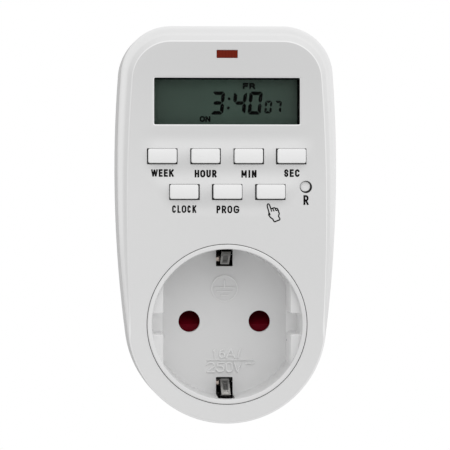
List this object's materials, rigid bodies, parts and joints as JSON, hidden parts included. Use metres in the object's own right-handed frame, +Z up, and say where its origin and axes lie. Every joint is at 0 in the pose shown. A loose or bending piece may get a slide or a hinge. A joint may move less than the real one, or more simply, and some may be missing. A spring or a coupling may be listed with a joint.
{
  "type": "plug in timer switch",
  "caption": "Plug-in mains timer: round-ended white body with a display and small keys over a recessed earthed socket, and an earthed plug behind.",
  "frame": {"origin": "on the plug's end face, on the axis that the plug and the socket share", "axes": "+Y runs from the front face back along the plug pins, +Z runs up the body, +X to the right as seen from the front"},
  "size_m": [0.0594, 0.0755, 0.1064],
  "materials": {
    "housing_white": "fine satin moulded plastic",
    "socket_white": "satin moulded plastic",
    "key_white": "smooth satin plastic",
    "clear_window": "clear polycarbonate",
    "red_lens": "clear red plastic",
    "grey_rubber": "moulded silicone",
    "carbon_rubber": "conductive rubber",
    "black_plastic": "satin plastic",
    "lcd_glass": "polarised glass over a grey-green backing",
    "zebra_rubber": "layered rubber",
    "board_green": "solder mask",
    "black_resin": "cast resin",
    "tin": "tin plate",
    "zinc_steel": "zinc plate",
    "relay_blue": "moulded plastic",
    "capacitor_yellow": "film capacitor case",
    "capacitor_sleeve": "shrink sleeve",
    "disc_blue": "dipped epoxy",
    "resistor_tan": "ceramic paint",
    "ribbon_grey": "flat cable insulation",
    "wire_brown": "wire insulation",
    "wire_black": "wire insulation",
    "wire_blue": "wire insulation",
    "nickel": "nickel plate",
    "brass": "rolled brass",
    "carrier_plastic": "moulded plastic",
    "guard_red": "moulded plastic",
    "spring_steel": "music wire"
  },
  "bodies": {
    "root": {"front_housing": "housing_white", "rear_housing": "housing_white", "socket_insert": "socket_white", "socket_floor": "socket_white", "display_window": "clear_window", "indicator_lens": "red_lens", "keypad_mat": "grey_rubber", "contact_pills": "carbon_rubber", "display_holder": "black_plastic", "display_glass": "lcd_glass", "zebra_strip": "zebra_rubber", "control_board": "board_green", "controller_chip": "black_resin", "clock_crystal": "tin", "backup_cell": "tin", "indicator_lamp": "red_lens", "board_screws": "zinc_steel", "power_board": "board_green", "relay": "relay_blue", "mains_capacitor": "capacitor_yellow", "smoothing_capacitor": "capacitor_sleeve", "rectifier_diodes": "black_resin", "surge_disc": "disc_blue", "dropper_resistor": "resistor_tan", "power_board_screws": "zinc_steel", "ribbon_cable": "ribbon_grey", "live_in_wire": "wire_brown", "live_out_wire": "wire_black", "neutral_wire": "wire_blue", "live_pin": "nickel", "neutral_pin": "nickel", "live_strip": "brass", "live_contact": "brass", "neutral_contact": "brass", "contact_carrier": "carrier_plastic", "carrier_screws": "zinc_steel", "earth_strap_upper": "nickel", "earth_strap_lower": "nickel", "earth_bridge": "brass", "shutter_spring": "spring_steel", "shutter_cover": "carrier_plastic", "cover_screws": "zinc_steel", "socket_screws": "zinc_steel", "housing_screws": "zinc_steel"},
    "key_week_body": {"key_week": "key_white"},
    "key_hour_body": {"key_hour": "key_white"},
    "key_minute_body": {"key_minute": "key_white"},
    "key_second_body": {"key_second": "key_white"},
    "key_clock_body": {"key_clock": "key_white"},
    "key_program_body": {"key_program": "key_white"},
    "key_manual_body": {"key_manual": "key_white"},
    "reset_button_body": {"reset_button": "key_white"},
    "shutter_body": {"shutter": "guard_red"}
  },
  "joints": [
    {"name": "key_week_press", "type": "slide", "parent": "root", "child": "key_week_body", "axis": [0, 1, 0], "range_m": [0, 0.0008], "stiffness_N_per_m": 1200, "springref_m": -0.0004, "deforming": ["keypad_mat"]},
    {"name": "key_hour_press", "type": "slide", "parent": "root", "child": "key_hour_body", "axis": [0, 1, 0], "range_m": [0, 0.0008], "stiffness_N_per_m": 1200, "springref_m": -0.0004, "deforming": ["keypad_mat"]},
    {"name": "key_minute_press", "type": "slide", "parent": "root", "child": "key_minute_body", "axis": [0, 1, 0], "range_m": [0, 0.0008], "stiffness_N_per_m": 1200, "springref_m": -0.0004, "deforming": ["keypad_mat"]},
    {"name": "key_second_press", "type": "slide", "parent": "root", "child": "key_second_body", "axis": [0, 1, 0], "range_m": [0, 0.0008], "stiffness_N_per_m": 1200, "springref_m": -0.0004, "deforming": ["keypad_mat"]},
    {"name": "key_clock_press", "type": "slide", "parent": "root", "child": "key_clock_body", "axis": [0, 1, 0], "range_m": [0, 0.0008], "stiffness_N_per_m": 1200, "springref_m": -0.0004, "deforming": ["keypad_mat"]},
    {"name": "key_program_press", "type": "slide", "parent": "root", "child": "key_program_body", "axis": [0, 1, 0], "range_m": [0, 0.0008], "stiffness_N_per_m": 1200, "springref_m": -0.0004, "deforming": ["keypad_mat"]},
    {"name": "key_manual_press", "type": "slide", "parent": "root", "child": "key_manual_body", "axis": [0, 1, 0], "range_m": [0, 0.0008], "stiffness_N_per_m": 1200, "springref_m": -0.0004, "deforming": ["keypad_mat"]},
    {"name": "reset_press", "type": "slide", "parent": "root", "child": "reset_button_body", "axis": [0, 1, 0], "range_m": [0, 0.0008], "stiffness_N_per_m": 1200, "springref_m": -0.0004, "deforming": ["keypad_mat"]},
    {"name": "shutter_slide", "type": "slide", "parent": "root", "child": "shutter_body", "axis": [0, 0, -1], "range_m": [0, 0.0063], "stiffness_N_per_m": 150, "springref_m": -0.003, "deforming": ["shutter_spring"]}
  ]
}
